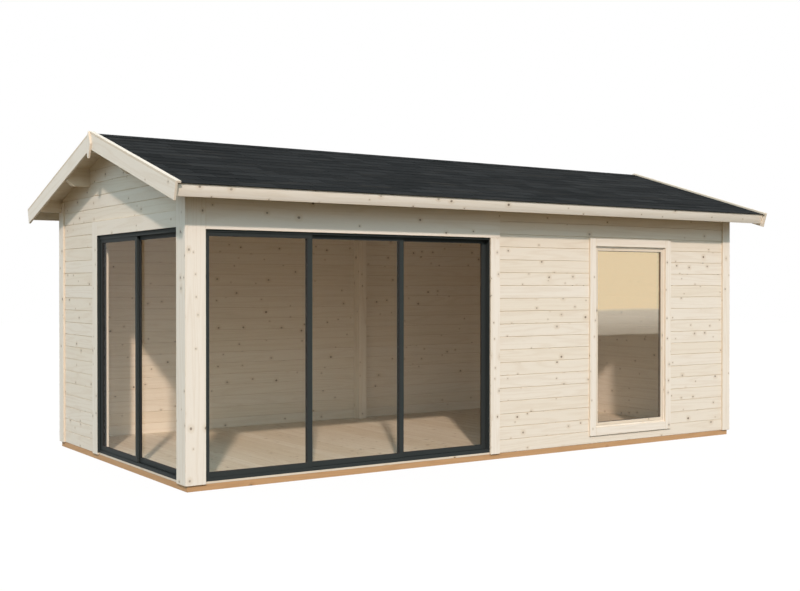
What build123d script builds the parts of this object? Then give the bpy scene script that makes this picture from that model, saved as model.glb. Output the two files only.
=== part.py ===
from build123d import *
import math
import os

# A timber garden room: two sliding glass doors meet at a corner post, and one tall window stands beside
# them. Millimetres. The origin is on the ground under the middle of the roof, +X runs along the ridge to
# the right, the long front faces -Y, +Z is up.

# Building outline, measured over the trim boards
HOUSE_LENGTH = 6367
HOUSE_WIDTH = 3185
WALL_OVER_OPENINGS = 262
WALL_THICKNESS = 44
TRIM_THICKNESS = 18

# Base and floor
BASE_HEIGHT = 51
BASE_INSET = 20
LONG_BEARER_WIDTH = 70
CROSS_BEARER_WIDTH = 45
CROSS_BEARER_COUNT = 11
FLOOR_THICKNESS = 18

# Roof
ROOF_PITCH = 16.87
LEFT_OVERHANG = 219
RIGHT_OVERHANG = 198
EAVE_OVERHANG = 339
ROOF_BOARD_THICKNESS = 20
ROOFING_THICKNESS = 6
ROOFING_DRIP = 4
CAP_THICKNESS = 18
CAP_WIDTH = 44
BARGE_DEPTH = 134
BARGE_THICKNESS = 20
FASCIA_HEIGHT = 102
FASCIA_THICKNESS = 20
FASCIA_SETBACK = 32
PLATE_HEIGHT = 107
PURLIN_WIDTH = 58
PURLIN_HEIGHT = 165
PURLIN_RUN = 724
PURLIN_BEVEL_LENGTH = 54
PURLIN_BEVEL_HEIGHT = 44
RIDGE_BEAM_WIDTH = 70
RIDGE_BEAM_HEIGHT = 145
FINIAL_THICKNESS = 18
FINIAL_WIDTH = 112
FINIAL_FOOT_WIDTH = 24
FINIAL_HEIGHT = 240
FINIAL_SHOULDER_DROP = 115

# Corner post and trim boards
POST_WIDTH = 137
POST_DEPTH = 181
POST_FRONT_BOARD_WIDTH = 175
POST_SIDE_BOARD_WIDTH = 183
TRIM_TOP_GAP = 8
CORNER_TRIM_FRONT_WIDTH = 112
CORNER_TRIM_SIDE_WIDTH = 132
FRONT_DOOR_TRIM_WIDTH = 110
FRONT_DOOR_TRIM_LAP = 10
FRONT_HEADER_LAP = 18
FRONT_LINTEL_DEPTH = 80
SIDE_DOOR_TRIM_WIDTH = 140
SIDE_LINTEL_HEIGHT = 134
STUD_WIDTH = 45
SIDE_STUD_DEPTH = 48
WALL_POST_WIDTH = 103
WALL_POST_DEPTH = 115
WALL_POST_FROM_LEFT = 3518

# Sliding doors
FRONT_FRAME_WIDTH = 2896
FRONT_TRACK_COUNT = 3
SIDE_FRAME_WIDTH = 1844
SIDE_TRACK_COUNT = 2
DOOR_FRAME_HEIGHT = 2020
FRAME_JAMB = 6
FRAME_HEAD = 23
FRAME_THRESHOLD = 22
FRAME_LIP_THICKNESS = 2.5
FRAME_LIP_REACH = 14
LIP_CLEARANCE = 5.5
TRACK_RIB_WIDTH = 6
TRACK_RIB_HEIGHT = 6
TRACK_PITCH = 25.5
SASH_DEPTH = 20
SASH_STILE = 44
SASH_RAIL = 37
SASH_EDGE_CLEARANCE = 5
SASH_RUN_CLEARANCE = 0.3
PANE_THICKNESS = 6

# Window
WINDOW_WIDTH = 1150
WINDOW_HEIGHT = 1973
WINDOW_SILL_HEIGHT = 77
WINDOW_FROM_RIGHT = 920
ARCHITRAVE_WIDTH = 82
ARCHITRAVE_LAP = 15
WINDOW_FRAME_FACE = 30
WINDOW_SASH_FACE = 29
WINDOW_SASH_RECESS = 5

# How far a cutting shape reaches past what it cuts
OVERRUN = 50

# Places worked out from the sizes above
PITCH_TAN = math.tan(math.radians(ROOF_PITCH))
PITCH_SIN = math.sin(math.radians(ROOF_PITCH))
PITCH_COS = math.cos(math.radians(ROOF_PITCH))

ROOF_LEFT = -(LEFT_OVERHANG + HOUSE_LENGTH + RIGHT_OVERHANG) / 2
ROOF_RIGHT = -ROOF_LEFT
LEFT = ROOF_LEFT + LEFT_OVERHANG
RIGHT = LEFT + HOUSE_LENGTH
FRONT = -HOUSE_WIDTH / 2
REAR = HOUSE_WIDTH / 2

WALL_LEFT = LEFT + TRIM_THICKNESS
WALL_RIGHT = RIGHT - TRIM_THICKNESS
WALL_FRONT = FRONT + TRIM_THICKNESS
WALL_REAR = REAR - TRIM_THICKNESS
ROOM_LEFT = WALL_LEFT + WALL_THICKNESS
ROOM_RIGHT = WALL_RIGHT - WALL_THICKNESS
ROOM_FRONT = WALL_FRONT + WALL_THICKNESS
ROOM_REAR = WALL_REAR - WALL_THICKNESS

FLOOR_TOP = BASE_HEIGHT + FLOOR_THICKNESS
DOOR_HEAD = FLOOR_TOP + DOOR_FRAME_HEIGHT
WINDOW_FOOT = BASE_HEIGHT + WINDOW_SILL_HEIGHT
WINDOW_TOP = WINDOW_FOOT + WINDOW_HEIGHT
WALL_TOP = max(DOOR_HEAD, WINDOW_TOP) + WALL_OVER_OPENINGS
GABLE_FOOT = DOOR_HEAD + SIDE_LINTEL_HEIGHT

FRAME_LEFT = WALL_LEFT + POST_WIDTH
FRAME_RIGHT = FRAME_LEFT + FRONT_FRAME_WIDTH
FRAME_NEAR = WALL_FRONT + POST_DEPTH
FRAME_FAR = FRAME_NEAR + SIDE_FRAME_WIDTH
HEADER_RIGHT = FRAME_RIGHT - FRONT_DOOR_TRIM_LAP + FRONT_DOOR_TRIM_WIDTH

# Depths below the top of the cap boards, square to the slope
ROOFING_TOP = CAP_THICKNESS
BOARD_TOP = ROOFING_TOP + ROOFING_THICKNESS
BOARD_UNDER = BOARD_TOP + ROOF_BOARD_THICKNESS
WALL_RUN = HOUSE_WIDTH / 2 - TRIM_THICKNESS
APEX_HEIGHT = WALL_TOP + PLATE_HEIGHT + WALL_RUN * PITCH_TAN + BOARD_UNDER / PITCH_COS
EAVE_RUN = HOUSE_WIDTH / 2 + EAVE_OVERHANG
FASCIA_RUN = EAVE_RUN - FASCIA_SETBACK
BOARD_RUN = FASCIA_RUN - FASCIA_THICKNESS * PITCH_COS
BARGE_INNER_LEFT = ROOF_LEFT + BARGE_THICKNESS
BARGE_INNER_RIGHT = ROOF_RIGHT - BARGE_THICKNESS
ROOF_X = (BARGE_INNER_LEFT, BARGE_INNER_RIGHT)


def block(x, y, z):
    """A box between low and high pairs along each axis."""
    middle = [(low + high) / 2 for low, high in (x, y, z)]
    size = [high - low for low, high in (x, y, z)]
    return Pos(*middle) * Box(*size)


def bar_along_x(outline, x):
    """A straight bar whose end outline is a list of (y, z) points."""
    section = Plane.YZ.offset(x[0]) * make_face(Polyline(*outline, close=True))
    return extrude(section, amount=x[1] - x[0], dir=(1, 0, 0))


def upright(outline, z):
    """A straight upright whose plan outline is a list of (x, y) points."""
    section = Plane.XY.offset(z[0]) * make_face(Polyline(*outline, close=True))
    return extrude(section, amount=z[1] - z[0], dir=(0, 0, 1))


def roof_height(run, depth):
    """Height at a level distance from the ridge, at a depth below the top of the cap boards."""
    return APEX_HEIGHT - run * PITCH_TAN - depth / PITCH_COS


def roof_layer(side, x, top, under, run, square_end=False):
    """One slope of a roof layer; its eave end is plumb, or square to the slope."""
    top_run = run - top * PITCH_SIN if square_end else run
    under_run = run - under * PITCH_SIN if square_end else run
    corners = [(0, top), (top_run, top), (under_run, under), (0, under)]
    return bar_along_x([(side * r, roof_height(r, d)) for r, d in corners], x)


def roof_beam(side, x, inner_run, outer_run, foot):
    """A beam under one slope, with a level foot and its top against the roof boards."""
    outline = [
        (side * inner_run, foot),
        (side * outer_run, foot),
        (side * outer_run, roof_height(outer_run, BOARD_UNDER)),
        (side * inner_run, roof_height(inner_run, BOARD_UNDER)),
    ]
    return bar_along_x(outline, x)


def mirrored_ends(make, width):
    """The same piece at the left and right ends of the roof, each of a width from its outer face."""
    return Compound(children=[make((ROOF_LEFT, ROOF_LEFT + width)), make((ROOF_RIGHT - width, ROOF_RIGHT))])


def long_bearers():
    x = (LEFT + BASE_INSET, RIGHT - BASE_INSET)
    front = (FRONT + BASE_INSET, FRONT + BASE_INSET + LONG_BEARER_WIDTH)
    rear = (REAR - BASE_INSET - LONG_BEARER_WIDTH, REAR - BASE_INSET)
    return Compound(children=[block(x, y, (0, BASE_HEIGHT)) for y in (front, rear)])


def cross_bearers():
    y = (FRONT + BASE_INSET + LONG_BEARER_WIDTH, REAR - BASE_INSET - LONG_BEARER_WIDTH)
    first = LEFT + BASE_INSET
    step = (HOUSE_LENGTH - 2 * BASE_INSET - CROSS_BEARER_WIDTH) / (CROSS_BEARER_COUNT - 1)
    starts = [first + step * index for index in range(CROSS_BEARER_COUNT)]
    return Compound(children=[block((x, x + CROSS_BEARER_WIDTH), y, (0, BASE_HEIGHT)) for x in starts])


def frame_depth(tracks):
    return 2 * (FRAME_LIP_THICKNESS + LIP_CLEARANCE) + (tracks - 1) * TRACK_PITCH + SASH_DEPTH


FRONT_FRAME_INNER = WALL_FRONT + frame_depth(FRONT_TRACK_COUNT)
SIDE_FRAME_INNER = WALL_LEFT + frame_depth(SIDE_TRACK_COUNT)


def door_sills():
    z = (BASE_HEIGHT, FLOOR_TOP)
    front = block((FRAME_LEFT, FRAME_RIGHT), (WALL_FRONT, FRONT_FRAME_INNER), z)
    side = block((WALL_LEFT, SIDE_FRAME_INNER), (FRAME_NEAR, FRAME_FAR), z)
    return front, side


def post():
    return block((WALL_LEFT, FRAME_LEFT), (WALL_FRONT, FRAME_NEAR), (BASE_HEIGHT, DOOR_HEAD))


def floor_deck():
    deck = block((ROOM_LEFT, ROOM_RIGHT), (ROOM_FRONT, ROOM_REAR), (BASE_HEIGHT, FLOOR_TOP))
    front_sill, side_sill = door_sills()
    return deck - front_sill - side_sill - post()


def ring(x, y, z, face):
    """A rectangular ring facing the front, with members of one face width."""
    hole = block((x[0] + face, x[1] - face), (y[0] - OVERRUN, y[1] + OVERRUN), (z[0] + face, z[1] - face))
    return block(x, y, z) - hole


def inset(span, amount):
    return span[0] + amount, span[1] - amount


ARCHITRAVE_X = (RIGHT - WINDOW_FROM_RIGHT - WINDOW_WIDTH, RIGHT - WINDOW_FROM_RIGHT)
ARCHITRAVE_Z = (WINDOW_FOOT, WINDOW_TOP)
HOLE_X = inset(ARCHITRAVE_X, ARCHITRAVE_WIDTH - ARCHITRAVE_LAP)
HOLE_Z = inset(ARCHITRAVE_Z, ARCHITRAVE_WIDTH - ARCHITRAVE_LAP)
SASH_X = inset(HOLE_X, WINDOW_FRAME_FACE)
SASH_Z = inset(HOLE_Z, WINDOW_FRAME_FACE)


def front_wall():
    wall = block((FRAME_RIGHT, ROOM_RIGHT), (WALL_FRONT, ROOM_FRONT), (BASE_HEIGHT, WALL_TOP))
    return wall - block(HOLE_X, (WALL_FRONT - OVERRUN, ROOM_FRONT + OVERRUN), HOLE_Z)


def window_frame():
    """The fixed frame in the wall and the sash inside it, set a little behind the frame's face."""
    frame = ring(HOLE_X, (WALL_FRONT, ROOM_FRONT), HOLE_Z, WINDOW_FRAME_FACE)
    sash_y = (WALL_FRONT + WINDOW_SASH_RECESS, ROOM_FRONT)
    return frame + ring(SASH_X, sash_y, SASH_Z, WINDOW_SASH_FACE)


def window_glass():
    middle = (WALL_FRONT + WINDOW_SASH_RECESS + ROOM_FRONT) / 2
    y = (middle - PANE_THICKNESS / 2, middle + PANE_THICKNESS / 2)
    return block(inset(SASH_X, WINDOW_SASH_FACE), y, inset(SASH_Z, WINDOW_SASH_FACE))


def wall_plates():
    runs = (WALL_RUN - WALL_THICKNESS, WALL_RUN)
    return [roof_beam(side, ROOF_X, *runs, WALL_TOP) for side in (-1, 1)]


def purlin(side):
    """A purlin half way up one slope; both its ends are cut back slanting under the overhang."""
    foot = roof_height(PURLIN_RUN, BOARD_UNDER) - PURLIN_HEIGHT
    runs = (PURLIN_RUN - PURLIN_WIDTH / 2, PURLIN_RUN + PURLIN_WIDTH / 2)
    beam = roof_beam(side, ROOF_X, *runs, foot)
    for x, inward in ((BARGE_INNER_LEFT, 1), (BARGE_INNER_RIGHT, -1)):
        corner = [(x, foot), (x + inward * PURLIN_BEVEL_LENGTH, foot), (x, foot + PURLIN_BEVEL_HEIGHT)]
        section = Plane.XZ * make_face(Polyline(*corner, close=True))
        beam -= extrude(section, amount=HOUSE_WIDTH, both=True)
    return beam


def ridge_beam():
    half = RIDGE_BEAM_WIDTH / 2
    foot = roof_height(0, BOARD_UNDER) - RIDGE_BEAM_HEIGHT
    shoulder = roof_height(half, BOARD_UNDER)
    outline = [(-half, foot), (half, foot), (half, shoulder), (0, roof_height(0, BOARD_UNDER)), (-half, shoulder)]
    return bar_along_x(outline, ROOF_X)


ROOF_BEAMS = [*wall_plates(), purlin(-1), purlin(1), ridge_beam()]


def gable(x):
    """The planked wall over the lintel, notched where the roof beams pass through."""
    eave = roof_height(WALL_RUN, BOARD_UNDER)
    outline = [
        (-WALL_RUN, GABLE_FOOT),
        (WALL_RUN, GABLE_FOOT),
        (WALL_RUN, eave),
        (0, roof_height(0, BOARD_UNDER)),
        (-WALL_RUN, eave),
    ]
    panel = bar_along_x(outline, x)
    for beam in ROOF_BEAMS:
        panel -= beam
    return panel


TRIM_TOP = roof_height(HOUSE_WIDTH / 2, BOARD_UNDER) - TRIM_TOP_GAP
TRIM_SPAN = (BASE_HEIGHT, TRIM_TOP)


def corner_boards(x, y, toward_x, toward_y, along_x, along_y):
    """Two boards joined round a corner at (x, y), one along each wall, notched where a plate passes."""
    thick_x = toward_x * TRIM_THICKNESS
    thick_y = toward_y * TRIM_THICKNESS
    reach_x = x + toward_x * along_x
    reach_y = y + toward_y * along_y
    outline = [
        (x, y),
        (reach_x, y),
        (reach_x, y + thick_y),
        (x + thick_x, y + thick_y),
        (x + thick_x, reach_y),
        (x, reach_y),
    ]
    boards = upright(outline, TRIM_SPAN)
    for plate in wall_plates():
        boards -= plate
    return boards


def corner_trims():
    widths = (CORNER_TRIM_FRONT_WIDTH, CORNER_TRIM_SIDE_WIDTH)
    return Compound(children=[
        corner_boards(RIGHT, FRONT, -1, 1, *widths),
        corner_boards(RIGHT, REAR, -1, -1, *widths),
        corner_boards(LEFT, REAR, 1, -1, *widths),
    ])


def fascia(side):
    """The board over the ends of the roof boards, square to the slope like them."""
    depths = (BOARD_TOP, BOARD_TOP + FASCIA_HEIGHT)
    whole = roof_layer(side, ROOF_X, *depths, FASCIA_RUN, square_end=True)
    return whole - roof_layer(side, ROOF_X, *depths, BOARD_RUN, square_end=True)


def bargeboards(side):
    depths = (ROOFING_TOP, ROOFING_TOP + BARGE_DEPTH)
    return mirrored_ends(lambda x: roof_layer(side, x, *depths, EAVE_RUN, square_end=True), BARGE_THICKNESS)


def cap_boards(side):
    return mirrored_ends(lambda x: roof_layer(side, x, 0, CAP_THICKNESS, EAVE_RUN, square_end=True), CAP_WIDTH)


def finials():
    """A kite-shaped plate over the joint of the bargeboards, at each end of the ridge."""
    wide = FINIAL_WIDTH / 2
    narrow = FINIAL_FOOT_WIDTH / 2
    shoulder = APEX_HEIGHT - FINIAL_SHOULDER_DROP
    foot = APEX_HEIGHT - FINIAL_HEIGHT
    outline = [(0, APEX_HEIGHT), (wide, shoulder), (narrow, foot), (-narrow, foot), (-wide, shoulder)]
    left = bar_along_x(outline, (ROOF_LEFT - FINIAL_THICKNESS, ROOF_LEFT))
    right = bar_along_x(outline, (ROOF_RIGHT, ROOF_RIGHT + FINIAL_THICKNESS))
    return Compound(children=[left, right])


def inner_battens():
    """The stud beside each door frame and the post against the rear wall, half way along."""
    z = (FLOOR_TOP, DOOR_HEAD)
    post_middle = LEFT + WALL_POST_FROM_LEFT
    post_x = (post_middle - WALL_POST_WIDTH / 2, post_middle + WALL_POST_WIDTH / 2)
    return Compound(children=[
        block((FRAME_RIGHT, FRAME_RIGHT + STUD_WIDTH), (ROOM_FRONT, FRONT_FRAME_INNER), z),
        block((ROOM_LEFT, ROOM_LEFT + SIDE_STUD_DEPTH), (FRAME_FAR, FRAME_FAR + STUD_WIDTH), z),
        block(post_x, (ROOM_REAR - WALL_POST_DEPTH, ROOM_REAR), (FLOOR_TOP, WALL_TOP)),
    ])


# Sliding doors are made with the outer face on the plane y = 0, the first panel at x = 0 on the outermost
# track and the frame's foot at z = 0, and are then put in their wall
SASH_FOOT = FRAME_THRESHOLD + TRACK_RIB_HEIGHT + SASH_RUN_CLEARANCE
SASH_TOP = DOOR_FRAME_HEIGHT - FRAME_HEAD - SASH_EDGE_CLEARANCE
SASH_SIDE_GAP = FRAME_JAMB + SASH_EDGE_CLEARANCE


def sash_width(width, tracks):
    return (width - 2 * SASH_SIDE_GAP + (tracks - 1) * SASH_STILE) / tracks


def sash_place(width, tracks, track):
    """The level span and the depth span of the panel on one track."""
    panel = sash_width(width, tracks)
    start = SASH_SIDE_GAP + track * (panel - SASH_STILE)
    face = FRAME_LIP_THICKNESS + LIP_CLEARANCE + track * TRACK_PITCH
    return (start, start + panel), (face, face + SASH_DEPTH)


def door_frame(width, tracks):
    """A channel on the head and jambs, and a threshold with one rib for each track."""
    depth = frame_depth(tracks)
    rib_top = FRAME_THRESHOLD + TRACK_RIB_HEIGHT
    head = DOOR_FRAME_HEIGHT - FRAME_HEAD
    channel_x = (FRAME_JAMB, width - FRAME_JAMB)
    frame = block((0, width), (0, depth), (0, DOOR_FRAME_HEIGHT))
    frame -= block(channel_x, inset((0, depth), FRAME_LIP_THICKNESS), (FRAME_THRESHOLD, head))
    passage_x = inset(channel_x, FRAME_LIP_REACH)
    frame -= block(passage_x, (-OVERRUN, depth + OVERRUN), (rib_top, head - FRAME_LIP_REACH))
    for track in range(tracks):
        sash_y = sash_place(width, tracks, track)[1]
        rib_y = inset(sash_y, (SASH_DEPTH - TRACK_RIB_WIDTH) / 2)
        frame += block(channel_x, rib_y, (FRAME_THRESHOLD, rib_top))
    return frame


def door_sash(width, tracks, track):
    x, y = sash_place(width, tracks, track)
    hole = block(inset(x, SASH_STILE), (y[0] - OVERRUN, y[1] + OVERRUN), inset((SASH_FOOT, SASH_TOP), SASH_RAIL))
    return block(x, y, (SASH_FOOT, SASH_TOP)) - hole


def door_glass(width, tracks, track):
    x, y = sash_place(width, tracks, track)
    pane_y = inset(y, (SASH_DEPTH - PANE_THICKNESS) / 2)
    return block(inset(x, SASH_STILE), pane_y, inset((SASH_FOOT, SASH_TOP), SASH_RAIL))


IN_FRONT_WALL = Pos(FRAME_LEFT, WALL_FRONT, FLOOR_TOP)
IN_LEFT_WALL = Pos(WALL_LEFT, FRAME_FAR, FLOOR_TOP) * Rot(0, 0, -90)
FRONT_DOOR = (FRONT_FRAME_WIDTH, FRONT_TRACK_COUNT)
SIDE_DOOR = (SIDE_FRAME_WIDTH, SIDE_TRACK_COUNT)
DOOR_PANELS = [
    ("front_door_left", IN_FRONT_WALL, FRONT_DOOR, 0),
    ("front_door_middle", IN_FRONT_WALL, FRONT_DOOR, 1),
    ("front_door_right", IN_FRONT_WALL, FRONT_DOOR, 2),
    ("side_door_rear", IN_LEFT_WALL, SIDE_DOOR, 0),
    ("side_door_front", IN_LEFT_WALL, SIDE_DOOR, 1),
]

FRONT_TRIM_Y = (FRONT, WALL_FRONT)
SIDE_TRIM_X = (LEFT, WALL_LEFT)
LEFT_WALL_X = (WALL_LEFT, ROOM_LEFT)
RIGHT_WALL_X = (ROOM_RIGHT, WALL_RIGHT)
LOWER_WALL_Z = (BASE_HEIGHT, GABLE_FOOT)
HEADER_FOOT = DOOR_HEAD - FRONT_HEADER_LAP

nodes = {
    "long_bearers": long_bearers(),
    "cross_bearers": cross_bearers(),
    "floor_deck": floor_deck(),
    "door_sills": Compound(children=list(door_sills())),
    "corner_post": post(),
    "corner_post_boards": corner_boards(LEFT, FRONT, 1, 1, POST_FRONT_BOARD_WIDTH, POST_SIDE_BOARD_WIDTH),
    "corner_trims": corner_trims(),
    "front_lintel": block(
        (ROOM_LEFT, FRAME_RIGHT), (WALL_FRONT, WALL_FRONT + FRONT_LINTEL_DEPTH), (DOOR_HEAD, WALL_TOP)
    ),
    "front_header_board": block(
        (LEFT + POST_FRONT_BOARD_WIDTH, HEADER_RIGHT), FRONT_TRIM_Y, (HEADER_FOOT, TRIM_TOP)
    ),
    "front_door_trim": block(
        (HEADER_RIGHT - FRONT_DOOR_TRIM_WIDTH, HEADER_RIGHT), FRONT_TRIM_Y, (BASE_HEIGHT, HEADER_FOOT)
    ),
    "front_wall": front_wall(),
    "window_architrave": ring(ARCHITRAVE_X, FRONT_TRIM_Y, ARCHITRAVE_Z, ARCHITRAVE_WIDTH),
    "window_frame": window_frame(),
    "window_glass": window_glass(),
    "rear_wall": block((ROOM_LEFT, ROOM_RIGHT), (ROOM_REAR, WALL_REAR), (BASE_HEIGHT, WALL_TOP)),
    "left_wall": block(LEFT_WALL_X, (FRAME_FAR, WALL_REAR), LOWER_WALL_Z),
    "left_lintel": block(LEFT_WALL_X, (WALL_FRONT, FRAME_FAR), (DOOR_HEAD, GABLE_FOOT)),
    "left_header_board": block(
        SIDE_TRIM_X, (FRONT + POST_SIDE_BOARD_WIDTH, FRAME_FAR), (DOOR_HEAD, GABLE_FOOT)
    ),
    "left_door_trim": block(SIDE_TRIM_X, (FRAME_FAR, FRAME_FAR + SIDE_DOOR_TRIM_WIDTH), LOWER_WALL_Z),
    "left_gable": gable(LEFT_WALL_X),
    "right_wall": block(RIGHT_WALL_X, (WALL_FRONT, WALL_REAR), LOWER_WALL_Z),
    "right_gable": gable(RIGHT_WALL_X),
    "inner_battens": inner_battens(),
    "roof_beams": Compound(children=ROOF_BEAMS),
    "roof_boards_front": roof_layer(-1, ROOF_X, BOARD_TOP, BOARD_UNDER, BOARD_RUN, square_end=True),
    "roof_boards_rear": roof_layer(1, ROOF_X, BOARD_TOP, BOARD_UNDER, BOARD_RUN, square_end=True),
    "roofing_front": roof_layer(-1, ROOF_X, ROOFING_TOP, BOARD_TOP, FASCIA_RUN + ROOFING_DRIP),
    "roofing_rear": roof_layer(1, ROOF_X, ROOFING_TOP, BOARD_TOP, FASCIA_RUN + ROOFING_DRIP),
    "fascias": Compound(children=[fascia(-1), fascia(1)]),
    "bargeboards_front": bargeboards(-1),
    "bargeboards_rear": bargeboards(1),
    "cap_boards_front": cap_boards(-1),
    "cap_boards_rear": cap_boards(1),
    "finials": finials(),
    "front_door_frame": IN_FRONT_WALL * door_frame(*FRONT_DOOR),
    "side_door_frame": IN_LEFT_WALL * door_frame(*SIDE_DOOR),
}
for name, place, door, track in DOOR_PANELS:
    nodes[f"{name}_sash"] = place * door_sash(*door, track)
    nodes[f"{name}_glass"] = place * door_glass(*door, track)

os.makedirs("parts", exist_ok=True)
for name, shape in nodes.items():
    export_step(shape, f"parts/{name}.step")
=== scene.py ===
import bmesh
import bpy
import math
import random
from mathutils import Matrix, Vector


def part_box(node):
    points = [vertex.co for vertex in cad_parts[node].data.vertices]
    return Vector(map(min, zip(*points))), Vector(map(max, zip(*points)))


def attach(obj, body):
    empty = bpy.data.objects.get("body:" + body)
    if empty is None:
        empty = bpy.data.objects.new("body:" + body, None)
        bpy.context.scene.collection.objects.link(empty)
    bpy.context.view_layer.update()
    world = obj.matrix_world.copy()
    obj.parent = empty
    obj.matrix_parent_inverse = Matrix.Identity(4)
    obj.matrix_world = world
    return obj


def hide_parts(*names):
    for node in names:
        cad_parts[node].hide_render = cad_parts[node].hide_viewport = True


# Looks of a timber garden room with sliding glass doors round one corner.
# Metres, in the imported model's frame.
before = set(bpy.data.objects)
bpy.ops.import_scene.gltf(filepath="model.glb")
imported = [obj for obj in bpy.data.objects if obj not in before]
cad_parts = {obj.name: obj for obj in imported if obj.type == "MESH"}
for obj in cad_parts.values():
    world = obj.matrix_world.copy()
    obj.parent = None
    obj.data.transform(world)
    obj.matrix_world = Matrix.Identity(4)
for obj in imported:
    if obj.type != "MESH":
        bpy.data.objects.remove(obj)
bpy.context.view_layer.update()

# Camera of the photograph
CAMERA_PLACE = (-6.7345, -9.8947, 1.6164)
CAMERA_TILT = 89.551
CAMERA_TURN = -33.92
CAMERA_LENS = 51.137
SENSOR_WIDTH = 36

# Studio
SUN_TOWARD = (-0.585, -1.0, 0.75)
SUN_STRENGTH = 2.4
SUN_COLOUR = (1.0, 0.855, 0.79)
SUN_SPREAD = 2.4
HAZE_COLOUR = (0.63, 0.62, 0.56, 1)
HAZE_FOOT = 0.04
HAZE_TOP = 0.32
HORIZON_COLOUR = (0.98, 1.27, 1.45, 1)
SIDE_COLOUR = (0.83, 1.16, 1.38, 1)
SIDE_START = 0.35
SIDE_END = 0.85
ZENITH_COLOUR = (0.33, 0.40, 0.43, 1)
HORIZON_TOP = 0.5
ZENITH_FOOT = 0.85
WHITE = (1, 1, 1, 1)
BLACK = (0, 0, 0, 1)
FLOOR_RADIUS = 40
FLOOR_SIDES = 96
FLOOR_DROP = 0.0005
FLOOR_COLOUR = (0.105, 0.079, 0.044, 1)
FLOOR_GLOW = (0.915, 0.93, 0.955, 1)

# Boards
WELD = 0.00002
COPLANAR_ANGLE = math.radians(1)
SHARP_ANGLE = math.radians(25)
PLANK_COVER = 0.121
PLANK_LEAST = 0.04
PLANK_FOOT_CHAMFER = 0.0054
PLANK_FOOT_INSIDE = 0.004
PLANK_HEAD_CHAMFER = 0.002
ROOF_BOARD_COVER = 0.095
ROOF_BOARD_CHAMFER = 0.003
FLOOR_BOARD_COVER = 0.146
FLOOR_BOARD_CHAMFER = 0.0022
# Faces narrower than this, sawn edges and joint chamfers alike, are darkened, partly as painted shade in the
# joints
NARROW_FACE_WIDTH = 0.024
TRIM_ROUND = 0.0022
SAWN_ROUND = 0.0012
ROUND_STEPS = 2
ROUND_PROFILE = 0.5

# How nearly an edge or a face of a board keeps to a direction, as a cosine
RUNS_ALONG = 0.99
FACES_ALONG = 0.9
FACES_ASIDE = 0.4

# Grain and knots; a shift or a seed turns a board's number into a pattern of its own
KNOT_COLOUR = (0.15, 0.098, 0.06, 1)
KNOT_CELLS = 8.0
KNOT_LEAST = 0.045
KNOT_SPREAD = 0.075
KNOT_BEND = 0.012
KNOT_SHIFT = (91.0, 47.0)
KNOTTY_SEED = 770.0
HALO_REACH = 3.2
RING_TURNS = 58.0
FIBRE_STRETCH = 0.94
FIBRE_SHIFT = (17.0, 31.0, 53.0)
FINE_FIBRES = 210.0
TONE_SEED = 500.0
TRIM_COLOURS = ((0.88, 0.80, 0.69, 1), (0.855, 0.765, 0.64, 1), (0.66, 0.53, 0.37, 1))

# Roof covering
ROOF_PITCH = math.radians(16.87)
SHINGLE_EXPOSURE = 0.1435
SHINGLE_LAP = 0.04
SHINGLE_WIDTH = 0.333
SHINGLE_SLOT = 0.003
SHINGLE_BUTT = 0.0015
SHINGLE_HEAD_TOP = 0.002
SHINGLE_HEAD_FOOT = 0.0035
SHINGLE_WOBBLE = 0.0008
UNDERLAY_THICKNESS = 0.0006
ROOFING_THICKNESS = 0.006
STARTER_WIDTH = 0.12
RIDGE_START = 0.004
RIDGE_CAP_HALF = 0.11
RIDGE_CAP_EXPOSURE = 0.16
RIDGE_CAP_LENGTH = 0.2
RIDGE_CAP_THICKNESS = 0.0016
RIDGE_CAP_LIFT = 0.0022
CAP_BOARD_WIDTH = 0.044
FELT_DARK = (0.006, 0.0078, 0.0085, 1)
FELT_PALE = (0.026, 0.028, 0.0285, 1)
FELT_WEATHERED = (0.034, 0.030, 0.0235, 1)
FELT_STREAK = (0.9, 9.0, 9.0)
FELT_CHIPS = 420.0
SHINGLE_SEED = 300.0

# Window and doors
WINDOW_FRAME_FACE = 0.03
WINDOW_SASH_FACE = 0.029
WINDOW_SASH_RECESS = 0.005
WINDOW_SASH_GAP = 0.0015
ARCHITRAVE_FACE = 0.082
BEAD_FACE = 0.004
BEAD_DEPTH = 0.011
GASKET_FACE = 0.006
GASKET_DEPTH = 0.004
METAL_ROUND = 0.0012
COVER_THICKNESS = 0.0015
COAT_DARK = (0.033, 0.038, 0.0365, 1)
COAT_PALE = (0.044, 0.050, 0.048, 1)
COAT_PEEL = 900.0
PANE_ROUGHNESS = 0.02
DOOR_SHEEN = (0.95, 0.95, 0.95, 1)

# Heights between which the window's painted reflection of sky sets in, deepens and turns gold
PAINTED_REFLECTION_SETS_IN = (1.118, 1.138)
PAINTED_REFLECTION_DEEPENS = (1.126, 1.346)
PAINTED_REFLECTION_TURNS = (1.361, 1.401)
PAINTED_REFLECTION_PALE = (1.0, 0.90, 0.74, 1)
PAINTED_REFLECTION_GOLD = (1.0, 0.82, 0.54, 1)

ALONG_X = Vector((1, 0, 0))
ALONG_Y = Vector((0, 1, 0))
UPWARD = Vector((0, 0, 1))
GRAIN_WAY = Vector((1, 0.9, 0.8))


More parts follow.
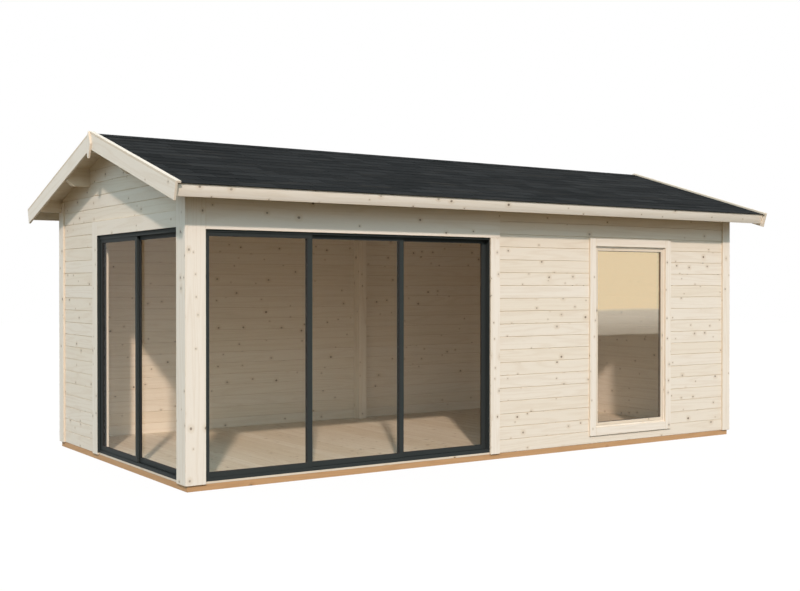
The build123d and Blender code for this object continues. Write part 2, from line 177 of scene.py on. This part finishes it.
class Wire:
    """A shader socket to reckon with: an operator adds a Math node, and node() adds any other."""

    def __init__(self, tree, socket=None):
        self.tree = tree
        self.socket = socket

    def node(self, kind, settings=None, sockets=None, output=0):
        """Adds a node of a kind, makes its settings, fills its sockets and gives one of its outputs."""
        added = self.tree.nodes.new("ShaderNode" + kind)
        for name, value in (settings or {}).items():
            setattr(added, name, value)
        for name, value in (sockets or {}).items():
            if isinstance(value, Wire):
                self.tree.links.new(value.socket, added.inputs[name])
            else:
                added.inputs[name].default_value = value
        return Wire(self.tree, added.outputs[output]) if added.outputs else None

    def other(self, output):
        """Another output of the same node."""
        return Wire(self.tree, self.socket.node.outputs[output])

    def reckon(self, operation, first, second):
        return self.node("Math", {"operation": operation}, {0: first, 1: second})

    def __add__(self, value):
        return self.reckon("ADD", self, value)

    def __radd__(self, value):
        return self.reckon("ADD", value, self)

    def __sub__(self, value):
        return self.reckon("SUBTRACT", self, value)

    def __rsub__(self, value):
        return self.reckon("SUBTRACT", value, self)

    def __mul__(self, value):
        return self.reckon("MULTIPLY", self, value)

    def __rmul__(self, value):
        return self.reckon("MULTIPLY", value, self)

    def __pow__(self, value):
        return self.reckon("POWER", self, value)

    def __lt__(self, value):
        return self.reckon("LESS_THAN", self, value)

    def sine(self):
        return self.reckon("SINE", self, 0)

    def mix(self, share, first, second):
        """A colour that goes from the first to the second as the share goes from 0 to 1."""
        return self.node("Mix", {"data_type": "RGBA"}, {0: share, 6: first, 7: second}, 2)

    def vector(self, operation, first, second, output=0):
        return self.node("VectorMath", {"operation": operation}, {0: first, 1: second}, output)

    def stretch(self, vector, factor):
        return self.node("VectorMath", {"operation": "SCALE"}, {0: vector, 3: factor})

    def noise(self, place, scale, detail=2.0, rough=0.5, warp=0.0):
        sockets = {"Vector": place, "Scale": scale, "Detail": detail, "Roughness": rough, "Distortion": warp}
        return self.node("TexNoise", {}, sockets)

    def ramp(self, value, low, high):
        """0 at low, 1 at high, smooth between; low may be the larger."""
        settings = {"interpolation_type": "SMOOTHSTEP", "clamp": True}
        return self.node("MapRange", settings, {"Value": value, "From Min": low, "From Max": high})

    def bump(self, height, strength, distance):
        return self.node("Bump", {}, {"Height": height, "Strength": strength, "Distance": distance})


def blank(name):
    """A new material and a wire to start its nodes from."""
    material = bpy.data.materials.new(name)
    material.use_nodes = True
    material.node_tree.nodes.clear()
    return material, Wire(material.node_tree)


def painted(wire, colour, rough, normal=None, **constants):
    """The main shader, with constants set on its own sockets."""
    sockets = {"Base Color": colour, "Roughness": rough}
    if normal:
        sockets["Normal"] = normal
    for name, value in constants.items():
        sockets[name.replace("_", " ")] = value
    return wire.node("BsdfPrincipled", {}, sockets)


def show(wire, shader):
    wire.node("OutputMaterial", {}, {"Surface": shader})


def timber(name, pale, warm, late, knots, edge_and_joint_shade_share=0.5, fibre_depth=0.0008):
    """Planed softwood whose narrow faces, sawn edges and joint chamfers alike, are darker: partly the sawn
    wood's own tone, partly painted shade in the joints; grain and tone come from each board's direction and
    number.
    """
    material, wire = blank(name)
    place = wire.node("TexCoord", output="Object")
    grain = wire.node("Attribute", {"attribute_name": "grain"}, output="Vector")
    board = wire.node("Attribute", {"attribute_name": "board"}, output="Fac")
    sawn_edge_and_joint_shade = wire.node("Attribute", {"attribute_name": "sawn_edge_and_joint_shade"}, output="Fac")
    facing = wire.node("NewGeometry", output="True Normal")
    along = wire.vector("DOT_PRODUCT", place, grain, "Value")
    across = wire.vector("DOT_PRODUCT", place, wire.vector("CROSS_PRODUCT", grain, facing), "Value")

    # Knots are round spots that some cells of a cell pattern hold
    uneven = wire.noise(place, 55.0) - 0.5
    shift_along, shift_across = KNOT_SHIFT
    spot = wire.node(
        "CombineXYZ", {}, {"X": along * 0.82 + board * shift_along, "Y": across + board * shift_across}
    )
    cell = wire.node("TexVoronoi", {"voronoi_dimensions": "2D"}, {"Vector": spot, "Scale": KNOT_CELLS})
    chance = wire.node("SeparateColor", {}, {"Color": cell.other("Color")})
    near = cell + uneven * 0.03
    size = KNOT_LEAST + (chance.other("Green") ** 2.0) * KNOT_SPREAD
    knotty = wire.node("TexWhiteNoise", {"noise_dimensions": "1D"}, {"W": board * KNOTTY_SEED})
    held = chance < knots * (0.5 + 1.5 * (knotty ** 2.0))
    knot = wire.ramp(near, size, size * 0.4) * held * (0.45 + 0.55 * chance.other("Blue"))
    halo = wire.ramp(near, size * HALO_REACH, size) * held

    # Growth rings run along the grain and bend round the knots
    shift_x, shift_y, shift_z = FIBRE_SHIFT
    apart = wire.node(
        "CombineXYZ", {},
        {"X": board * shift_x, "Y": board * shift_y, "Z": board * shift_z + halo * KNOT_BEND},
    )
    fibre = wire.vector("ADD", wire.vector("ADD", place, wire.stretch(grain, along * -FIBRE_STRETCH)), apart)
    flow = wire.noise(fibre, 6.5, 2.0, 0.5, 0.3)
    rings = (flow * RING_TURNS).sine() * 0.5 + 0.5
    fine = wire.noise(fibre, FINE_FIBRES, 3.0, 0.6)
    drift = wire.noise(fibre, 2.2, 2.0)

    tone = wire.node("TexWhiteNoise", {"noise_dimensions": "1D"}, {"W": board * TONE_SEED})
    ground = wire.mix(tone * 0.7 + drift * 0.5 - 0.1, pale, warm)
    figure = (rings ** 2.2) * 0.2 + (fine - 0.5) * 0.45
    lined = wire.mix(figure, ground, late)
    # Narrow faces lean to the late wood: the sawn edges' own tone, and painted shade in the chamfers of the
    # joints
    ringed = wire.mix(halo * 0.38 + sawn_edge_and_joint_shade * edge_and_joint_shade_share, lined, late)
    coloured = wire.mix(knot, ringed, KNOT_COLOUR)
    height = rings * 0.25 + fine * 0.6 - knot * 0.5
    shader = painted(
        wire, coloured, 0.56 + fine * 0.16 - knot * 0.12, wire.bump(height, 0.35, fibre_depth),
        Specular_IOR_Level=0.3,
    )
    show(wire, shader)
    return material


def shingle_felt():
    """Charcoal mineral chips on bitumen, each shingle with its own tone."""
    material, wire = blank("charcoal_shingle_felt")
    place = wire.node("TexCoord", output="Object")
    board = wire.node("Attribute", {"attribute_name": "board"}, output="Fac")
    streak_place = wire.node("Mapping", {}, {"Vector": place, "Scale": FELT_STREAK})
    streak = wire.noise(streak_place, 1.6, 4.0, 0.6)
    chips = wire.noise(place, FELT_CHIPS, 2.0, 0.7)
    tone = wire.node("TexWhiteNoise", {"noise_dimensions": "1D"}, {"W": board * SHINGLE_SEED})
    level = tone * 0.6 + streak * 1.3 + chips * 0.5 - 0.85
    charcoal = wire.mix(level, FELT_DARK, FELT_PALE)
    weathered = wire.ramp(streak, 0.55, 0.72) * 0.6
    colour = wire.mix(weathered, charcoal, FELT_WEATHERED)
    shader = painted(wire, colour, 0.88 + chips * 0.1, wire.bump(chips, 0.6, 0.0015), Specular_IOR_Level=0.08)
    show(wire, shader)
    return material


def powder_coat():
    """Matt anthracite powder coat with a fine orange-peel skin."""
    material, wire = blank("anthracite_powder_coat")
    place = wire.node("TexCoord", output="Object")
    peel = wire.noise(place, COAT_PEEL, 2.0, 0.6)
    cloud = wire.noise(place, 3.0, 2.0)
    colour = wire.mix(cloud * 0.6 + peel * 0.4, COAT_DARK, COAT_PALE)
    shader = painted(
        wire, colour, 0.44 + peel * 0.14, wire.bump(peel, 0.25, 0.0004), Specular_IOR_Level=0.04
    )
    show(wire, shader)
    return material


def gasket_rubber(name, dark, dusty):
    material, wire = blank(name)
    place = wire.node("TexCoord", output="Object")
    dust = wire.noise(place, 90.0, 3.0, 0.6)
    colour = wire.mix(dust, dark, dusty)
    show(wire, painted(wire, colour, 0.6 + dust * 0.2, wire.bump(dust, 0.2, 0.0005)))
    return material


def pane(name, tint, reflect):
    """Tinted glass under a thin gloss; reflect(wire) gives the mirrored share and its colour."""
    material, wire = blank(name)
    share, sheen = reflect(wire)
    sunbeam = wire.node("LightPath", output="Is Shadow Ray")
    clear = wire.node("BsdfTransparent", {}, {"Color": tint})
    gloss = painted(wire, sheen, PANE_ROUGHNESS, Metallic=1.0)
    show(wire, wire.node("MixShader", {}, {0: share * (1 - sunbeam), 1: clear, 2: gloss}))
    return material


def door_reflection(wire):
    """A low reflection that grows at glancing angles, a little uneven over the pane."""
    place = wire.node("TexCoord", output="Object")
    facing = wire.node("LayerWeight", {}, {"Blend": 0.5}, "Facing")
    return 0.007 + (facing ** 4.0) * 0.14 + wire.noise(place, 1.4, 2.0) * 0.008, DOOR_SHEEN


def window_reflection(wire):
    """Painted reflection: the pane mirrors more, and more golden, in its upper half, standing in for
    reflected sky over trees.
    """
    place = wire.node("TexCoord", output="Object")
    height = wire.node("SeparateXYZ", {}, {"Vector": place}, "Z")
    # A noisy height gives the painted reflection a wavy lower edge, like a skyline
    level = height + wire.noise(place, 2.6, 3.0) * 0.03 - 0.015
    low = wire.ramp(level, *PAINTED_REFLECTION_SETS_IN) * 0.12 + wire.ramp(level, *PAINTED_REFLECTION_DEEPENS) * 0.15
    high = wire.ramp(level, *PAINTED_REFLECTION_TURNS)
    facing = wire.node("LayerWeight", {}, {"Blend": 0.5}, "Facing")
    sheen = wire.mix(high, PAINTED_REFLECTION_PALE, PAINTED_REFLECTION_GOLD)
    return 0.03 + low + high * 0.29 + (facing ** 4.0) * 0.2, sheen


SPRUCE = timber(
    "planed_spruce", (0.855, 0.775, 0.66, 1), (0.825, 0.73, 0.59, 1), (0.64, 0.50, 0.34, 1), knots=0.33,
    edge_and_joint_shade_share=0.33,
)
SPRUCE_TRIM = timber("planed_spruce_trim", *TRIM_COLOURS, knots=0.27)
KNOTTY_SPRUCE = timber("knotty_spruce_trim", *TRIM_COLOURS, knots=0.95)
CLEAR_SPRUCE = timber("clear_spruce_trim", *TRIM_COLOURS, knots=0.07)
ROOF_TIMBER = timber(
    "roof_timber", (0.80, 0.70, 0.55, 1), (0.76, 0.64, 0.48, 1), (0.58, 0.44, 0.28, 1), knots=0.12
)
FLOOR_PINE = timber(
    "floor_pine", (0.81, 0.735, 0.61, 1), (0.70, 0.60, 0.455, 1), (0.50, 0.36, 0.22, 1), knots=0.26,
    edge_and_joint_shade_share=0.7,
)
BASE_TIMBER = timber(
    "impregnated_base", (0.60, 0.36, 0.18, 1), (0.53, 0.30, 0.14, 1), (0.36, 0.18, 0.07, 1), knots=0.14,
    fibre_depth=0.003,
)
SHINGLES = shingle_felt()
ANTHRACITE = powder_coat()
RUBBER = gasket_rubber("black_gasket_rubber", (0.008, 0.008, 0.008, 1), (0.022, 0.021, 0.020, 1))
# The window beads are real rubber strips, but their brown is painted shade: the look of a timber reveal in
# shadow
SHADED_REVEAL_RUBBER = gasket_rubber("brown_gasket_rubber_painted_reveal_shade", (0.12, 0.095, 0.07, 1), (0.20, 0.165, 0.125, 1))
DOOR_GLASS = pane("bronze_door_glass", (0.97, 0.96, 0.94, 1), door_reflection)
# The window glass carries a painted reflection, stronger and golden in its upper half
WINDOW_GLASS = pane("window_glass_with_painted_reflection", (0.97, 0.96, 0.945, 1), window_reflection)


def copied(node):
    """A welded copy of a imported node's mesh."""
    shape = bmesh.new()
    shape.from_mesh(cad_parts[node].data)
    bmesh.ops.remove_doubles(shape, verts=shape.verts, dist=WELD)
    return shape


def flatten(shape):
    """Joins the triangles of each flat face."""
    bmesh.ops.dissolve_limit(shape, angle_limit=COPLANAR_ANGLE, verts=shape.verts, edges=shape.edges)


def cut(shape, planes):
    """Cuts a shape along planes, each a point and a normal, into closed boards that touch."""
    for point, normal in planes:
        everything = [*shape.verts, *shape.edges, *shape.faces]
        found = bmesh.ops.bisect_plane(shape, geom=everything, dist=WELD, plane_co=point, plane_no=normal)
        seam = [item for item in found["geom_cut"] if isinstance(item, bmesh.types.BMEdge)]
        bmesh.ops.split_edges(shape, edges=seam)
        rims = [edge for edge in shape.edges if edge.is_boundary]
        bmesh.ops.holes_fill(shape, edges=rims)
    flatten(shape)


def courses(low, high, cover, least, direction):
    """Planes that part a span into courses from its low end; a last course thinner than least is left out."""
    count = int((high - low - least) / cover)
    return [(direction * (low + cover * (index + 1)), direction) for index in range(count)]


def looks_out(face):
    """Whether a face of a wall looks away from the middle of the house."""
    return face.normal.dot(face.calc_center_median()) > 0


def looks_in(face):
    return not looks_out(face)


def chamfer(shape, grain, rise, foot, head, suits=None):
    """Takes the corners off boards along the grain, at each course's foot and head, on faces that suit."""
    for sign, width in ((-1, foot), (1, head)):
        chosen = []
        for edge in shape.edges:
            run = (edge.verts[1].co - edge.verts[0].co).normalized()
            if abs(run.dot(grain)) < RUNS_ALONG or len(edge.link_faces) != 2:
                continue
            end, broad = sorted(edge.link_faces, key=lambda face: -face.normal.dot(rise) * sign)
            squared = end.normal.dot(rise) * sign > FACES_ALONG
            square = squared and abs(broad.normal.dot(rise)) < FACES_ASIDE
            if square and (suits is None or suits(broad)):
                chosen.append(edge)
        bmesh.ops.bevel(shape, geom=chosen, offset=width, offset_type="OFFSET", segments=1, affect="EDGES")


def soften(shape, width):
    """Rounds every sharp edge."""
    flatten(shape)
    joined = [edge for edge in shape.edges if len(edge.link_faces) == 2]
    sharp = [edge for edge in joined if edge.calc_face_angle() > SHARP_ANGLE]
    bmesh.ops.bevel(
        shape, geom=sharp, offset=width, offset_type="OFFSET", segments=ROUND_STEPS, profile=ROUND_PROFILE,
        affect="EDGES",
    )


def parts(shape):
    """The separate parts of a shape, as lists of faces."""
    waiting = set(shape.faces)
    found = []
    for first in shape.faces:
        if first not in waiting:
            continue
        waiting.remove(first)
        part = [first]
        for face in part:
            for edge in face.edges:
                for beside in edge.link_faces:
                    if beside in waiting:
                        waiting.remove(beside)
                        part.append(beside)
        found.append(part)
    return found


def middle(part):
    """The middle of a part's box, to the millimetre, by which parts are put in order."""
    points = [vert.co for face in part for vert in face.verts]
    spans = [(min(place), max(place)) for place in zip(*points)]
    return [round((low + high) / 2, 3) for low, high in reversed(spans)]


def longest_run(part):
    """The direction of the longest edge of a part, which is the grain of a board, pointed one way for all."""
    longest = max((edge for face in part for edge in face.edges), key=lambda edge: edge.calc_length())
    run = (longest.verts[1].co - longest.verts[0].co).normalized()
    return -run if run.dot(GRAIN_WAY) < 0 else run


def number_boards(shape, name, grain=None):
    """Gives each board its grain direction, a number of its own and its narrow faces, sawn edges and joint
    chamfers alike, which the timber darkens partly as painted shade in the joints.
    """
    grain_layer = shape.faces.layers.float_vector.new("grain")
    board_layer = shape.faces.layers.float.new("board")
    sawn_edge_and_joint_shade_layer = shape.faces.layers.float.new("sawn_edge_and_joint_shade")
    draw = random.Random(name)
    for part in sorted(parts(shape), key=middle):
        direction = grain or longest_run(part)
        number = draw.random()
        for face in part:
            longest = max(edge.calc_length() for edge in face.edges)
            face[grain_layer] = direction
            face[board_layer] = number
            face[sawn_edge_and_joint_shade_layer] = float(face.calc_area() < NARROW_FACE_WIDTH * longest)


def piece(name, shape, finish, body="house", replaced=()):
    """Turns a shape into a piece that rides on a body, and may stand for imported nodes."""
    mesh = bpy.data.meshes.new(name)
    shape.to_mesh(mesh)
    shape.free()
    mesh.materials.append(finish)
    made = bpy.data.objects.new(name, mesh)
    bpy.context.scene.collection.objects.link(made)
    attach(made, body)
    if replaced:
        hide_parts(*replaced)


def timber_piece(node, finish=SPRUCE_TRIM, edge=TRIM_ROUND, grain=None):
    """A packed timber node as softened boards with their grain."""
    shape = copied(node)
    soften(shape, edge)
    number_boards(shape, node, grain)
    piece(node + "_timber", shape, finish, replaced=[node])


def planked_wall(node, grain):
    """A wall node as level planks with a V joint between them, on both faces."""
    low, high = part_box(node)
    shape = copied(node)
    cut(shape, courses(low.z, high.z, PLANK_COVER, PLANK_LEAST, UPWARD))
    chamfer(shape, grain, UPWARD, PLANK_FOOT_CHAMFER, PLANK_HEAD_CHAMFER, looks_out)
    chamfer(shape, grain, UPWARD, PLANK_FOOT_INSIDE, PLANK_HEAD_CHAMFER, looks_in)
    number_boards(shape, node, grain)
    piece(node + "_planks", shape, SPRUCE, replaced=[node])


def roof_boarding(node, side):
    """The boards under one roof slope, with their joints showing below."""
    low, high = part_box(node)
    downhill = Vector((0, side * math.cos(ROOF_PITCH), -math.sin(ROOF_PITCH)))
    ridge = Vector((0, 0, high.z)).dot(downhill)
    eave = max(Vector((0, side * abs(y), low.z)).dot(downhill) for y in (low.y, high.y))
    shape = copied(node)
    cut(shape, courses(ridge, eave, ROOF_BOARD_COVER, PLANK_LEAST, downhill))
    chamfer(shape, ALONG_X, downhill, ROOF_BOARD_CHAMFER, ROOF_BOARD_CHAMFER)
    number_boards(shape, node, ALONG_X)
    piece(node + "_boarding", shape, ROOF_TIMBER, replaced=[node])


def floor_boards():
    """The floor as boards that run from the front to the back."""
    low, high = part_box("floor_deck")
    shape = copied("floor_deck")
    cut(shape, courses(low.x, high.x, FLOOR_BOARD_COVER, PLANK_LEAST, ALONG_X))
    chamfer(shape, ALONG_Y, ALONG_X, FLOOR_BOARD_CHAMFER, FLOOR_BOARD_CHAMFER)
    number_boards(shape, "floor_deck", ALONG_Y)
    piece("floor_deck_boards", shape, FLOOR_PINE, replaced=["floor_deck"])


def add_block(shape, corners):
    """A six-sided block from its foot corners and then its head corners, both anticlockwise from above."""
    points = [shape.verts.new(corner) for corner in corners]
    for loop in ((3, 2, 1, 0), (4, 5, 6, 7), (0, 1, 5, 4), (1, 2, 6, 5), (2, 3, 7, 6), (3, 0, 4, 7)):
        shape.faces.new([points[index] for index in loop])


def add_box(shape, x, y, z):
    plan = ((x[0], y[0]), (x[1], y[0]), (x[1], y[1]), (x[0], y[1]))
    add_block(shape, [(*corner, height) for height in z for corner in plan])


def add_ring(shape, wide, deep, tall, face, along_x=True):
    """Four bars round an opening: two uprights of full height and two rails between them."""
    spans = [
        ((wide[0], wide[0] + face), tall),
        ((wide[1] - face, wide[1]), tall),
        ((wide[0] + face, wide[1] - face), (tall[0], tall[0] + face)),
        ((wide[0] + face, wide[1] - face), (tall[1] - face, tall[1])),
    ]
    for span, z in spans:
        if along_x:
            add_box(shape, span, deep, z)
        else:
            add_box(shape, deep, span, z)


def inset(span, amount):
    return span[0] + amount, span[1] - amount


def dress(node, finish):
    """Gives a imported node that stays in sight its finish."""
    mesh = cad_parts[node].data
    mesh.materials.clear()
    mesh.materials.append(finish)


def window():
    """The architrave, the fixed frame, the sash in it and the beads that hold the pane."""
    low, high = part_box("window_architrave")
    shape = bmesh.new()
    add_ring(shape, (low.x, high.x), (low.y, high.y), (low.z, high.z), ARCHITRAVE_FACE)
    soften(shape, TRIM_ROUND)
    number_boards(shape, "window_architrave")
    piece("window_architrave_boards", shape, SPRUCE_TRIM, replaced=["window_architrave"])

    low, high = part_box("window_frame")
    wide = (low.x, high.x)
    tall = (low.z, high.z)
    to_sash = WINDOW_FRAME_FACE + WINDOW_SASH_GAP
    shape = bmesh.new()
    add_ring(shape, wide, (low.y, high.y), tall, WINDOW_FRAME_FACE)
    add_ring(
        shape, inset(wide, to_sash), (low.y + WINDOW_SASH_RECESS, high.y), inset(tall, to_sash),
        WINDOW_SASH_FACE - WINDOW_SASH_GAP,
    )
    soften(shape, TRIM_ROUND)
    number_boards(shape, "window_frame")
    piece("window_joinery", shape, SPRUCE_TRIM, replaced=["window_frame"])

    low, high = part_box("window_glass")
    shape = bmesh.new()
    for deep in ((low.y - BEAD_DEPTH, low.y), (high.y, high.y + BEAD_DEPTH)):
        add_ring(shape, (low.x, high.x), deep, (low.z, high.z), BEAD_FACE)
    # Brown beads: painted shade standing for a shaded reveal
    piece("window_gasket", shape, SHADED_REVEAL_RUBBER)
    dress("window_glass", WINDOW_GLASS)


def metal_piece(node, body):
    shape = copied(node)
    soften(shape, METAL_ROUND)
    piece(node + "_coated", shape, ANTHRACITE, body, [node])


def side_door_edges():
    """Coated strips over the edges of the trim round the side door."""
    low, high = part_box("side_door_frame")
    trim_low, trim_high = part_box("left_header_board")
    cover_x = (trim_low.x, trim_high.x)
    shape = bmesh.new()
    add_box(shape, cover_x, (high.y - COVER_THICKNESS, high.y), (low.z, high.z))
    add_box(shape, cover_x, (trim_low.y, high.y - COVER_THICKNESS), (high.z - COVER_THICKNESS, high.z))
    piece("side_door_cover_strips", shape, ANTHRACITE)


def door_panel(name, along_x):
    """A sliding panel: its coated sash, the pane and a rubber gasket on both sides of the pane."""
    metal_piece(name + "_sash", name)
    low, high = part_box(name + "_glass")
    wide = (low.x, high.x) if along_x else (low.y, high.y)
    deep = (low.y, high.y) if along_x else (low.x, high.x)
    shape = bmesh.new()
    for span in ((deep[0] - GASKET_DEPTH, deep[0]), (deep[1], deep[1] + GASKET_DEPTH)):
        add_ring(shape, wide, span, (low.z, high.z), GASKET_FACE, along_x)
    piece(name + "_gasket", shape, RUBBER, name)
    dress(name + "_glass", DOOR_GLASS)


class Slope:
    """One roof slope: places at a distance down from the ridge and a depth below the covering's face."""

    def __init__(self, node, side):
        low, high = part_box(node)
        self.x = (low.x, high.x)
        self.ridge = Vector((0, 0, high.z))
        self.downhill = Vector((0, side * math.cos(ROOF_PITCH), -math.sin(ROOF_PITCH)))
        self.inward = Vector((0, -side * math.sin(ROOF_PITCH), -math.cos(ROOF_PITCH)))
        self.length = max(-low.y, high.y) / math.cos(ROOF_PITCH)
        self.side = side

    def at(self, x, distance, depth):
        return self.ridge + ALONG_X * x + self.downhill * distance + self.inward * depth

    def add_slab(self, shape, x, head, foot):
        """A slab from head to foot, each a distance with a top and an under depth."""
        corners = [
            self.at(x[0], foot[0], foot[2]), self.at(x[1], foot[0], foot[2]),
            self.at(x[1], head[0], head[2]), self.at(x[0], head[0], head[2]),
            self.at(x[0], foot[0], foot[1]), self.at(x[1], foot[0], foot[1]),
            self.at(x[1], head[0], head[1]), self.at(x[0], head[0], head[1]),
        ]
        if self.side > 0:
            corners = [corners[index] for index in (1, 0, 3, 2, 5, 4, 7, 6)]
        add_block(shape, corners)


def shingle_slope(node, side):
    """Courses of shingles over an underlay; each course laps the one below it and breaks its joints."""
    slope = Slope(node, side)
    draw = random.Random(node)
    shape = bmesh.new()
    under = ROOFING_THICKNESS - UNDERLAY_THICKNESS
    underlay = (under, ROOFING_THICKNESS)
    slope.add_slab(shape, slope.x, (RIDGE_START, *underlay), (slope.length, *underlay))
    starter = slope.length - STARTER_WIDTH
    slope.add_slab(shape, slope.x, (starter, SHINGLE_HEAD_TOP, under), (slope.length, SHINGLE_BUTT, under))
    for course in range(math.ceil(slope.length / SHINGLE_EXPOSURE)):
        foot = slope.length - course * SHINGLE_EXPOSURE
        head = max(foot - SHINGLE_EXPOSURE - SHINGLE_LAP, RIDGE_START)
        x = slope.x[0] - draw.random() * SHINGLE_WIDTH
        while x < slope.x[1]:
            wide = (max(x, slope.x[0]), min(x + SHINGLE_WIDTH - SHINGLE_SLOT, slope.x[1]))
            uneven = draw.uniform(-SHINGLE_WOBBLE, 0)
            if wide[1] > wide[0]:
                slope.add_slab(
                    shape, wide, (head, SHINGLE_HEAD_TOP, SHINGLE_HEAD_FOOT), (foot + uneven, 0, SHINGLE_BUTT)
                )
            x += SHINGLE_WIDTH
    number_boards(shape, node, ALONG_X)
    piece(node + "_shingles", shape, SHINGLES, replaced=[node])


def ridge_caps():
    """Short strips of shingle bent over the ridge, each lapping the next."""
    slopes = [Slope("roofing_front", -1), Slope("roofing_rear", 1)]
    low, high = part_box("cap_boards_front")
    start = low.x + CAP_BOARD_WIDTH
    end = high.x - CAP_BOARD_WIDTH
    shape = bmesh.new()
    x = start
    while x < end:
        far = min(x + RIDGE_CAP_LENGTH, end)
        outline = []
        for place, lift in ((x, RIDGE_CAP_LIFT), (far, RIDGE_CAP_THICKNESS)):
            for depth in (-lift, RIDGE_CAP_THICKNESS - lift):
                top = slopes[0].at(place, 0, 0) - UPWARD * depth / math.cos(ROOF_PITCH)
                front, rear = [slope.at(place, RIDGE_CAP_HALF, depth) for slope in slopes]
                outline.append([front, top, rear])
        near_top, near_under, far_top, far_under = [[shape.verts.new(p) for p in line] for line in outline]
        for side in (0, 1):
            shape.faces.new((near_top[side], near_top[side + 1], far_top[side + 1], far_top[side]))
            shape.faces.new((near_under[side + 1], near_under[side], far_under[side], far_under[side + 1]))
            shape.faces.new((near_under[side], near_under[side + 1], near_top[side + 1], near_top[side]))
            shape.faces.new((far_top[side], far_top[side + 1], far_under[side + 1], far_under[side]))
        shape.faces.new((near_top[0], far_top[0], far_under[0], near_under[0]))
        shape.faces.new((near_top[2], near_under[2], far_under[2], far_top[2]))
        x += RIDGE_CAP_EXPOSURE
    bmesh.ops.recalc_face_normals(shape, faces=shape.faces)
    number_boards(shape, "ridge_caps", ALONG_X)
    piece("ridge_caps", shape, SHINGLES)


def seen_in_studio(wire):
    """1 for rays that reach the eye straight, by a reflection or through glass, which find a white studio."""
    path = wire.node("LightPath", output="Is Camera Ray")
    glossy = path.other("Is Glossy Ray")
    passed = path.other("Is Transmission Ray")
    return wire.reckon("MAXIMUM", wire.reckon("MAXIMUM", path, glossy), passed)


def studio_floor():
    """A pale disc that is white to the eye but for the shadows, and bounces little light under the eaves."""
    material, wire = blank("studio_floor")
    seen = seen_in_studio(wire)
    matt = wire.node("BsdfDiffuse", {}, {"Color": FLOOR_COLOUR})
    glow = wire.node("Emission", {}, {"Color": wire.mix(seen, BLACK, FLOOR_GLOW)})
    show(wire, wire.node("AddShader", {}, {0: matt, 1: glow}))
    shape = bmesh.new()
    lowered = Matrix.Translation((0, 0, -FLOOR_DROP))
    bmesh.ops.create_circle(shape, cap_ends=True, segments=FLOOR_SIDES, radius=FLOOR_RADIUS, matrix=lowered)
    mesh = bpy.data.meshes.new("studio_floor")
    shape.to_mesh(mesh)
    shape.free()
    mesh.materials.append(material)
    floor = bpy.data.objects.new("studio_floor", mesh)
    bpy.context.scene.collection.objects.link(floor)


def studio_light():
    """One sun, and a soft sky, hazy low down, cooler aside and dim overhead, that the eye sees as white."""
    world = bpy.data.worlds.new("studio_sky")
    bpy.context.scene.world = world
    world.use_nodes = True
    world.node_tree.nodes.clear()
    wire = Wire(world.node_tree)
    toward = wire.node("SeparateXYZ", {}, {"Vector": wire.node("TexCoord", output="Generated")}, "X")
    rise = toward.other("Z")
    aside = wire.ramp(wire.reckon("ABSOLUTE", toward, 0), SIDE_START, SIDE_END)
    haze = wire.node("Background", {}, {"Color": HAZE_COLOUR})
    low_sky = wire.node("Background", {}, {"Color": wire.mix(aside, HORIZON_COLOUR, SIDE_COLOUR)})
    high_sky = wire.node("Background", {}, {"Color": ZENITH_COLOUR})
    above_haze = wire.ramp(rise, HAZE_FOOT, HAZE_TOP)
    overhead = wire.ramp(rise, HORIZON_TOP, ZENITH_FOOT)
    lower = wire.node("MixShader", {}, {0: above_haze, 1: haze, 2: low_sky})
    sky = wire.node("MixShader", {}, {0: overhead, 1: lower, 2: high_sky})
    backdrop = wire.node("Background", {}, {"Color": WHITE})
    shown = wire.node("MixShader", {}, {0: seen_in_studio(wire), 1: sky, 2: backdrop})
    wire.node("OutputWorld", {}, {"Surface": shown})

    lamp = bpy.data.lights.new("sun", "SUN")
    lamp.energy = SUN_STRENGTH
    lamp.color = SUN_COLOUR
    lamp.angle = math.radians(SUN_SPREAD)
    sun = bpy.data.objects.new("sun", lamp)
    sun.rotation_euler = Vector(SUN_TOWARD).to_track_quat("Z", "Y").to_euler()
    bpy.context.scene.collection.objects.link(sun)


def camera():
    lens = bpy.data.cameras.new("camera")
    lens.lens = CAMERA_LENS
    lens.sensor_width = SENSOR_WIDTH
    held = bpy.data.objects.new("camera", lens)
    held.location = CAMERA_PLACE
    held.rotation_euler = (math.radians(CAMERA_TILT), 0, math.radians(CAMERA_TURN))
    bpy.context.scene.collection.objects.link(held)
    bpy.context.scene.camera = held


for wall in ("front_wall", "rear_wall"):
    planked_wall(wall, ALONG_X)
for wall in ("left_wall", "right_wall", "left_gable", "right_gable"):
    planked_wall(wall, ALONG_Y)
for trim in (
    "corner_post", "corner_trims", "front_lintel", "front_header_board", "left_lintel", "left_header_board",
    "left_door_trim", "door_sills", "inner_battens", "fascias",
):
    timber_piece(trim)
for trim in ("corner_post_boards", "front_door_trim"):
    timber_piece(trim, KNOTTY_SPRUCE)
for trim in ("bargeboards_front", "bargeboards_rear", "cap_boards_front", "cap_boards_rear"):
    timber_piece(trim, CLEAR_SPRUCE)
timber_piece("finials", CLEAR_SPRUCE, grain=UPWARD)
timber_piece("roof_beams", ROOF_TIMBER)
for bearers in ("long_bearers", "cross_bearers"):
    timber_piece(bearers, BASE_TIMBER, SAWN_ROUND)
floor_boards()
roof_boarding("roof_boards_front", -1)
roof_boarding("roof_boards_rear", 1)
shingle_slope("roofing_front", -1)
shingle_slope("roofing_rear", 1)
ridge_caps()
window()
metal_piece("front_door_frame", "house")
metal_piece("side_door_frame", "house")
side_door_edges()
for panel in ("front_door_left", "front_door_middle", "front_door_right"):
    door_panel(panel, True)
for panel in ("side_door_rear", "side_door_front"):
    door_panel(panel, False)
studio_floor()
studio_light()
camera()
bpy.context.scene.view_settings.view_transform = "Standard"
